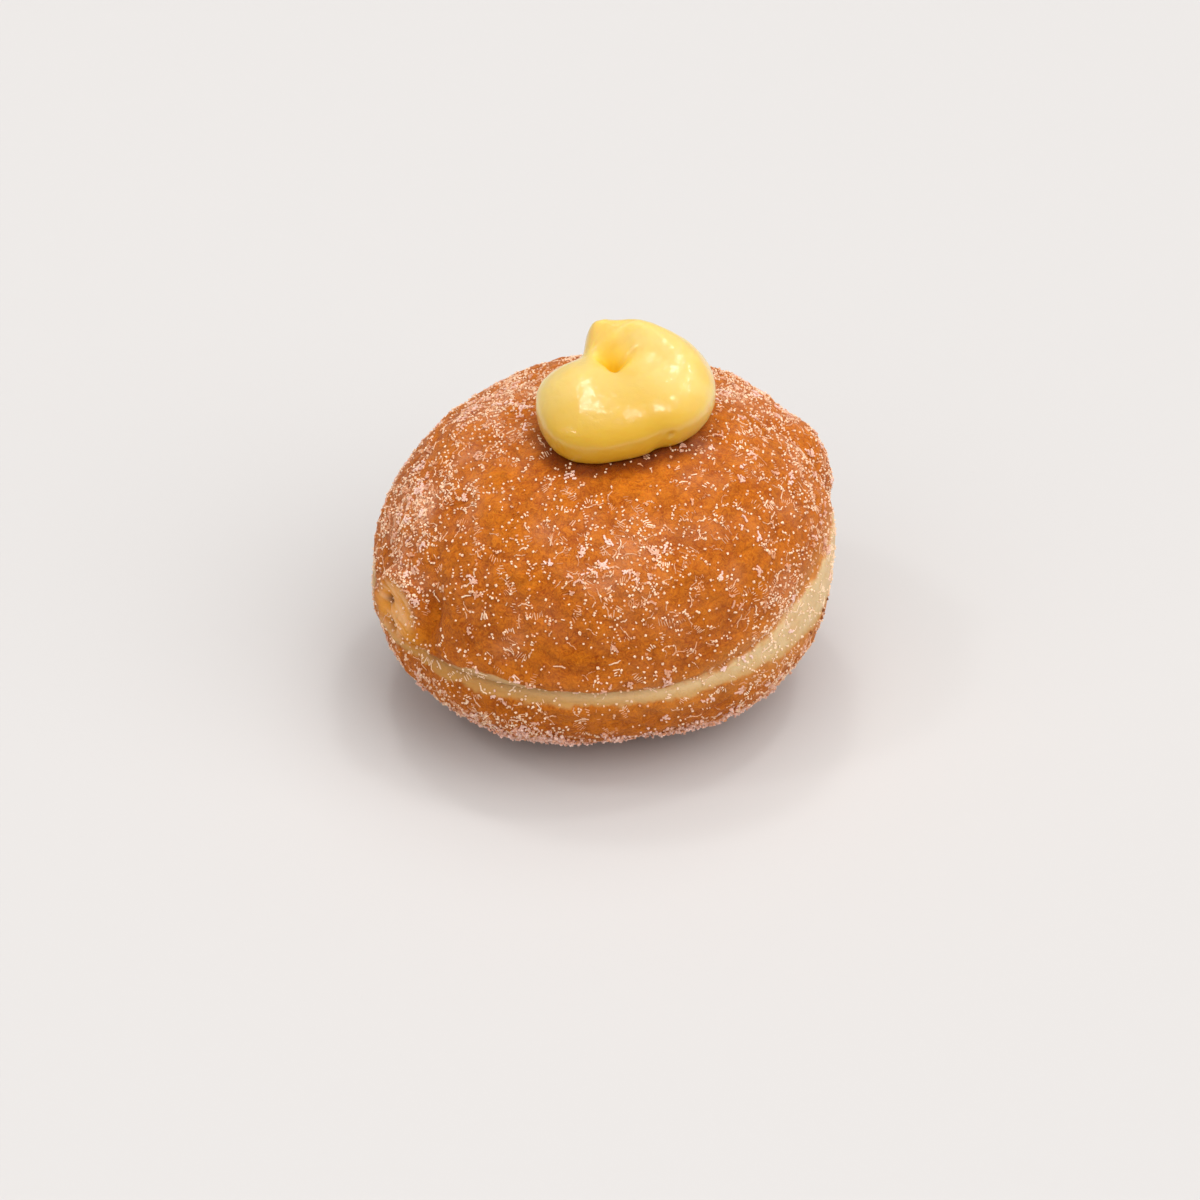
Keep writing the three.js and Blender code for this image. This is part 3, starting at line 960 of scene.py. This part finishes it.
def add_clumps(ground, draws):
    """Knots of thick, short threads of sugar that has caked on the crust."""
    wanted = ground.sugar**KNOT_GATHERING * patchy(ground.dough, seed=75)
    centres, _ = ground.strew(wanted, KNOTS, draws)
    own = np.repeat(np.arange(KNOTS), draws.integers(*KNOT_THREADS, KNOTS))
    spread = draws.normal(size=(len(own), 3)) * draws.uniform(*KNOT_REACH, (KNOTS, 1))[own]
    starts = ground.settle(centres[own] + spread)
    places, normals, headings, numbers = walk(ground, starts, KNOT_THREAD, draws)
    count = len(places)
    widths = draws.uniform(*KNOT_WIDTH, (count, 2))
    lengths = np.full(count, np.mean(KNOT_THREAD.stride) * KNOT_OVERLAP)
    raised = places + normals * KNOT_OVER_SURFACE
    tones = whiter_on_band(raised, draws.random(KNOTS)[own][numbers])
    sizes = np.column_stack([lengths, widths])
    return add_crystals("sugar_clumps", BLOCK, raised, lay_flat(normals, headings), sizes, tones, draws)


def add_rim_sugar(ground, draws):
    """The crust of coarse sugar round the bottom edge, piled in clusters."""
    around, height = ground.dough["around"], ground.dough["height"]
    ring = hill((height - RIM_MIDDLE_HEIGHT) / RIM_HALF_HEIGHT)
    wanted = ring * (RIM_EVERYWHERE + spots(around, height, RIM_PLACES))
    wanted = wanted * patchy(ground.dough, seed=73) * smooth(height, SUGAR_OVER_FLOOR)
    centres, _ = ground.strew(wanted, RIM_CLUSTERS, draws)
    own = draws.integers(0, RIM_CLUSTERS, RIM_CRYSTALS)
    offset = draws.normal(size=(RIM_CRYSTALS, 3)) * RIM_CLUSTER_REACH
    offset *= draws.uniform(*RIM_CLUSTER_SPREAD, (RIM_CRYSTALS, 1))
    places, normals = ground.settle(centres[own] + offset)
    amidst = hill(np.linalg.norm(offset, axis=1, keepdims=True) / RIM_CLUSTER_REACH)
    pile = RIM_PILE_HEIGHT * draws.random((RIM_CRYSTALS, 1)) * amidst
    sizes = chunk_sizes(RIM_CRYSTAL_SIZE, RIM_CRYSTALS, draws)
    raised = places + normals * (GRAIN_OVER_SURFACE + pile)
    clear = raised[:, 2] > RIM_CRYSTAL_SIZE[1]
    axes = tumbled(RIM_CRYSTALS, draws)
    tones = draws.random(RIM_CRYSTALS) ** RIM_WHITENESS
    return add_crystals("sugar_rim", BLOCK, raised[clear], axes[clear], sizes[clear], tones[clear], draws)


def add_crumbs(ground, draws):
    wanted = spot(ground.dough["around"], ground.dough["height"], CRUMB_PLACE)
    places, normals = ground.strew(wanted, CRUMBS, draws)
    sizes = draws.uniform(*CRUMB_SIZE, (CRUMBS, 3))
    raised = places + normals * GRAIN_OVER_SURFACE
    axes = tumbled(CRUMBS, draws)
    return add_crystals("crust_crumbs", BLOCK, raised, axes, sizes, draws.random(CRUMBS), draws)


# ---- Materials ----


def colour(code):
    """A hex colour as Blender's linear red, green, blue and alpha."""
    channels = [int(code[at : at + 2], 16) / 255 for at in (1, 3, 5)]
    linear = [c / 12.92 if c <= 0.04045 else ((c + 0.055) / 1.055) ** 2.4 for c in channels]
    return (*linear, 1)


class Look:
    """A material whose nodes are added one by one. Sizes are in millimetres."""

    def __init__(self, name, constants):
        self.material = bpy.data.materials.new(name)
        self.material.use_nodes = True
        self.tree = self.material.node_tree
        self.shader = self.tree.nodes["Principled BSDF"]
        for socket, value in constants.items():
            self.shader.inputs[socket].default_value = value
        self.place = self.node("TexCoord", {}, "Object")

    def node(self, kind, inputs, output=0, **settings):
        made = self.tree.nodes.new("ShaderNode" + kind)
        for key, value in settings.items():
            setattr(made, key, value)
        for socket, value in inputs.items():
            if isinstance(value, bpy.types.NodeSocket):
                self.tree.links.new(value, made.inputs[socket])
            else:
                made.inputs[socket].default_value = value
        return made.outputs[output]

    def shade(self, socket, value):
        self.tree.links.new(value, self.shader.inputs[socket])

    def attribute(self, name):
        return self.node("Attribute", {}, "Fac", attribute_name=name)

    def lumps(self, size, detail=2, roughness=0.5, distortion=0):
        inputs = {"Vector": self.place, "Scale": 1 / (size * METRES), "Detail": detail}
        inputs.update({"Roughness": roughness, "Distortion": distortion})
        return self.node("TexNoise", inputs)

    def math(self, operation, one, two):
        return self.node("Math", {0: one, 1: two}, operation=operation)

    def total(self, *parts):
        """The sum of values, each times its share."""
        shares = [self.math("MULTIPLY", value, share) for value, share in parts]
        return functools.reduce(lambda one, two: self.math("ADD", one, two), shares)

    def fade(self, value, limits):
        inputs = {"Value": value, "From Min": limits[0], "From Max": limits[1]}
        return self.node("MapRange", inputs, interpolation_type="SMOOTHSTEP")

    def mix(self, low, high, part):
        """Between two colours."""
        return self.node("Mix", {0: part, 6: low, 7: high}, 2, data_type="RGBA")

    def tint(self, skin, where, tone, share=1):
        """Another tone where the attribute of this name is 1, or a share of it."""
        return self.mix(skin, tone, self.math("MULTIPLY", self.attribute(where), share))

    def between(self, limits, part):
        """Between two numbers."""
        return self.node("MapRange", {"Value": part, "To Min": limits[0], "To Max": limits[1]})

    def bump(self, height, distance, strength, under=None):
        inputs = {"Height": height, "Distance": distance * METRES, "Strength": strength}
        if under:
            inputs["Normal"] = under
        return self.node("Bump", inputs)


CRUST_DARK = colour("#9a4402")
CRUST_LIGHT = colour("#d07516")
CRUST_CREASE_SHADE = colour("#6e2f04")
CRUST_GOLDEN = colour("#e09a50")
CRUST_SHADED = colour("#6b2600")
BAND_CREAM = colour("#e2c190")
BAND_TAN = colour("#bf905e")
BAND_TOASTED = colour("#d3a860")
BAND_GOLDEN = colour("#c98a34")
CREASE_SHADE_OLIVE = colour("#86602a")
TORN_PALE = colour("#f2b67c")
TORN_GOLD = colour("#e5983a")
TORN_PIT_SHADE = colour("#6a360c")
MELTED_GOLD = colour("#e0901c")
SUGAR_DUST = colour("#d39165")
SUGAR_HAZE = colour("#d29a86")
TOAST_FADE = (0.25, 0.64)
TOASTED_FADE = (0.5, 0.75)
NOISE_MIDDLE = 0.5
BLOTCH_FADE = (0.5, 0.68)
EDGE_FADE = (0.15, 0.85)
STRAND_FADE = (-0.5, 0.5)
DUST_FADE = (0.64, 0.86)
CRUST_ROUGHNESS = (0.42, 0.8)


def crust_look():
    look = Look(
        "fried_crust",
        {
            "Specular IOR Level": 0.03,
            "Sheen Weight": 0.06,
            "Sheen Roughness": 0.5,
            "Sheen Tint": (1, 0.9, 0.86, 1),
            "Subsurface Weight": 0.15,
            "Subsurface Radius": (1, 0.4, 0.15),
            "Subsurface Scale": 1.5 * METRES,
        },
    )
    broad = look.lumps(size=14, detail=3)
    mottle = look.lumps(size=2.4, detail=4, roughness=0.6, distortion=0.4)
    pebbles = look.lumps(size=1, detail=3, roughness=0.65, distortion=1.6)
    # Painted shade: the crust is darker in the hollows of its lumps.
    cavity_shade = look.attribute("cavity_shade")
    toast = look.total((broad, 0.1), (mottle, 0.26), (cavity_shade, -0.1), (pebbles, 0.66))
    fried = look.mix(CRUST_DARK, CRUST_LIGHT, look.fade(toast, TOAST_FADE))
    # Painted shade: the crust is darker brown along its wrinkle creases.
    fried = look.tint(fried, "wrinkles", CRUST_CREASE_SHADE, share=0.22)
    fried = look.tint(fried, "beside", CRUST_GOLDEN, share=0.5)

    band = look.mix(BAND_CREAM, BAND_TAN, look.attribute("tan"))
    band = look.mix(band, BAND_TOASTED, look.total((look.fade(mottle, TOASTED_FADE), 0.5)))
    blotches = look.fade(look.lumps(size=5, detail=3, roughness=0.6), BLOTCH_FADE)
    golden = look.math("MAXIMUM", look.total((blotches, 0.4)), look.attribute("golden"))
    band = look.mix(band, BAND_GOLDEN, look.total((golden, 0.6)))

    ragged = look.math("SUBTRACT", mottle, NOISE_MIDDLE)
    edge = look.total((look.attribute("pale"), 1), (ragged, 1.1))
    skin = look.mix(fried, band, look.fade(edge, EDGE_FADE))
    # Painted shade in the crease over the band's top, strongest at the front.
    skin = look.tint(skin, "crease", CREASE_SHADE_OLIVE, share=0.28)
    # Painted shadow under the custard's front edge.
    skin = look.tint(skin, "shaded", CRUST_SHADED, share=0.8)
    torn = look.mix(TORN_GOLD, TORN_PALE, look.fade(look.attribute("fibres"), STRAND_FADE))
    skin = look.tint(skin, "torn", torn)
    # Painted shade: the deep pits in the torn nub are dark brown.
    skin = look.tint(skin, "pits", TORN_PIT_SHADE)
    skin = look.tint(skin, "melted", MELTED_GOLD, share=0.8)
    skin = look.tint(skin, "haze", SUGAR_HAZE, share=0.3)

    speckle = look.lumps(size=0.55, detail=3, roughness=0.7)
    dusted = look.total((speckle, 1), (look.attribute("frost"), 0.28))
    dust = look.total((look.fade(dusted, DUST_FADE), 0.35))
    look.shade("Base Color", look.mix(skin, SUGAR_DUST, dust))
    rough = look.total((dust, 1), (mottle, 0.2))
    look.shade("Roughness", look.between(CRUST_ROUGHNESS, rough))
    pores = look.bump(pebbles, distance=0.28, strength=1)
    look.shade("Normal", look.bump(dust, distance=0.12, strength=0.5, under=pores))
    return look.material


CUSTARD_PALE = colour("#e8cb77")
CUSTARD_YELLOW = colour("#e7c468")
CUSTARD_LOW_SHADE = colour("#cea32a")
CUSTARD_FOOT_SHADE = colour("#daa92c")
CUSTARD_PIT_SHADE = colour("#f2c600")
CLOUD_FADE = (0.4, 0.65)
CUSTARD_ROUGHNESS = (0.28, 0.42)


def custard_look():
    look = Look(
        "custard",
        {
            "Specular IOR Level": 0.5,
            "Subsurface Weight": 0.8,
            "Subsurface Radius": (1, 0.6, 0.2),
            "Subsurface Scale": 3 * METRES,
            "Coat Weight": 0.6,
            "Coat Roughness": 0.05,
        },
    )
    clouds = look.lumps(size=8, detail=2)
    yellow = look.mix(CUSTARD_PALE, CUSTARD_YELLOW, look.fade(clouds, CLOUD_FADE))
    # Painted shade: low on its front the custard is darker, and golden at its foot.
    yellow = look.tint(yellow, "low", CUSTARD_LOW_SHADE)
    yellow = look.tint(yellow, "foot", CUSTARD_FOOT_SHADE)
    # Painted shade: the pit is a deeper, more saturated yellow.
    look.shade("Base Color", look.tint(yellow, "pit", CUSTARD_PIT_SHADE))
    grain = look.lumps(size=1.1, detail=3, roughness=0.6, distortion=1)
    look.shade("Roughness", look.between(CUSTARD_ROUGHNESS, grain))
    look.shade("Normal", look.bump(grain, distance=0.08, strength=0.5))
    waves = look.lumps(size=1.6, detail=3, distortion=2)
    look.shade("Coat Normal", look.bump(waves, distance=0.1, strength=0.8))
    return look.material


SUGAR_WHITE = colour("#ffdebd")
SUGAR_CLEAR = colour("#da9361")
SUGAR_CAKED = colour("#fbd6c8")


def sugar_look(name, whitest):
    look = Look(
        name,
        {
            "Roughness": 0.35,
            "Specular IOR Level": 0.4,
            "Subsurface Weight": 0.1,
            "Subsurface Radius": (1, 0.8, 0.6),
            "Subsurface Scale": 0.3 * METRES,
        },
    )
    look.shade("Base Color", look.mix(whitest, SUGAR_CLEAR, look.attribute("tone")))
    return look.material


CRUMB_DARK = colour("#7a3f18")
CRUMB_LIGHT = colour("#a8672f")


def crumb_look():
    look = Look("crust_crumb", {"Roughness": 0.7})
    look.shade("Base Color", look.mix(CRUMB_DARK, CRUMB_LIGHT, look.attribute("tone")))
    look.shade("Normal", look.bump(look.lumps(size=0.2), distance=0.03, strength=0.5))
    return look.material


FLOOR_HALF_SIZE = 3000
FLOOR_PALE = colour("#ccc9c7")


def add_floor():
    corners = FLOOR_HALF_SIZE * np.array([[-1, -1, 0], [1, -1, 0], [1, 1, 0], [-1, 1, 0]])
    floor = add_mesh("floor", corners - model_shift, [np.array([[0, 1, 2, 3]])], {}, smooth_shading=False)
    look = Look("floor", {"Base Color": FLOOR_PALE, "Roughness": 0.85, "Specular IOR Level": 0.2})
    floor.data.materials.append(look.material)


# ---- Light and camera ----
SKY_COLOUR = (1, 0.99, 0.98, 1)
SKY_STRENGTH = 0.3
# A sun's softness, its height over the horizon and the direction it shines from are in degrees. Only the
# small lamps are mirrored in what is wet.
Sun = collections.namedtuple("Sun", "name strength softness height towards mirrored")
SUNS = [
    Sun("overhead", 1.15, 55, 76, 62, False),
    Sun("right_fill", 1.6, 60, 44, 328, False),
    Sun("left_fill", 0.75, 60, 45, 225, False),
    Sun("front_fill", 0.2, 60, 40, 275, False),
    Sun("left_lamp", 0.28, 7, 68, 110, True),
    Sun("right_lamp", 0.28, 7, 71, 33, True),
    Sun("side_lamp", 0.18, 7, 54, 190, True),
]
CAMERA_ELEVATION = 36.02
CAMERA_SIDE = -90
CAMERA_DISTANCE = 607.7
CAMERA_LENS = 91.26
CAMERA_SENSOR = 36
NEAREST_SEEN = 6
AIM = (-0.61, -0.59, 15.3)


def direction(height, turn):
    """The unit vector this many degrees over the horizon and round from the right."""
    up, around = math.radians(height), math.radians(turn)
    return Vector((math.cos(up) * math.cos(around), math.cos(up) * math.sin(around), math.sin(up)))


def aim(holder, back):
    """Turn a light or camera to look against this direction, and put it in the scene."""
    holder.rotation_euler = back.to_track_quat("Z", "Y").to_euler()
    bpy.context.scene.collection.objects.link(holder)


def add_lights():
    world = bpy.data.worlds.new("soft_room")
    world.use_nodes = True
    background = world.node_tree.nodes["Background"]
    background.inputs["Color"].default_value = SKY_COLOUR
    background.inputs["Strength"].default_value = SKY_STRENGTH
    bpy.context.scene.world = world
    for sun in SUNS:
        lamp = bpy.data.lights.new(sun.name, "SUN")
        lamp.energy = sun.strength
        lamp.angle = math.radians(sun.softness)
        holder = bpy.data.objects.new(sun.name, lamp)
        holder.visible_glossy = sun.mirrored
        aim(holder, direction(sun.height, sun.towards))


def add_camera():
    lens = bpy.data.cameras.new("camera")
    lens.lens = CAMERA_LENS
    lens.sensor_width = CAMERA_SENSOR
    lens.clip_start = NEAREST_SEEN * METRES
    holder = bpy.data.objects.new("camera", lens)
    back = direction(CAMERA_ELEVATION, CAMERA_SIDE)
    holder.location = (Vector(AIM) + back * CAMERA_DISTANCE) * METRES
    aim(holder, back)
    bpy.context.scene.camera = holder
    bpy.context.scene.view_settings.view_transform = "Standard"


# ---- The doughnut ----
SEED = 7
FROST_FULL = 7  # the sugar wanted where the crust is wholly frosted
HAZE_HEIGHTS = (20, 34)


def frame_shift(main):
    """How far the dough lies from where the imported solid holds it, in millimetres."""
    low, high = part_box("dough")
    box_middle = np.array((low + high) / 2) / METRES
    middle = (main.reshape(-1, 3).min(0) + main.reshape(-1, 3).max(0)) / 2
    return np.array([box_middle[0] - middle[0], box_middle[1] - middle[1], 0])


def crust_values(dough, sugar):
    """What the crust's material reads at each point of the dough."""
    around, height = dough["around"], dough["height"]
    frost = np.clip(sugar * patchy(dough, seed=72) / FROST_FULL, 0, 1)
    return {
        "pale": band_paleness(around, height),
        "tan": band_tan(around),
        "golden": 1 - smooth(height - band_foot(around), GOLDEN_FOOT_FADE),
        "crease": crease_shade(around, height),
        "shaded": curl_shade(dough["point"]),
        "beside": golden_beside_band(around, height),
        "melted": spot(around, height, GOLDEN_END),
        "frost": frost,
        "haze": frost * smooth(height, HAZE_HEIGHTS),
        **{key: dough[key] for key in ("wrinkles", "cavity_shade", "torn", "fibres", "pits")},
    }


dough = dough_grid()
model_shift = frame_shift(dough["main"])
draws = np.random.default_rng(SEED)
sugar = sugar_wanted(dough)

crust = add_closed_grid("fried_dough", dough["point"], crust_values(dough, sugar))
finish_piece(crust, crust_look(), stands_for="dough")

curl = add_closed_grid("custard_curl", *custard_grid())
finish_piece(curl, custard_look(), stands_for="custard")

ground = Ground(dough, sugar)
loose_sugar = sugar_look("loose_sugar", SUGAR_WHITE)
caked_sugar = sugar_look("caked_sugar", SUGAR_CAKED)
for kind in THREADS:
    finish_piece(add_threads(ground, draws, kind), loose_sugar)
finish_piece(add_grains(ground, draws), loose_sugar)
finish_piece(add_clumps(ground, draws), caked_sugar)
finish_piece(add_rim_sugar(ground, draws), caked_sugar)
finish_piece(add_crumbs(ground, draws), crumb_look())

add_floor()
add_lights()
add_camera()
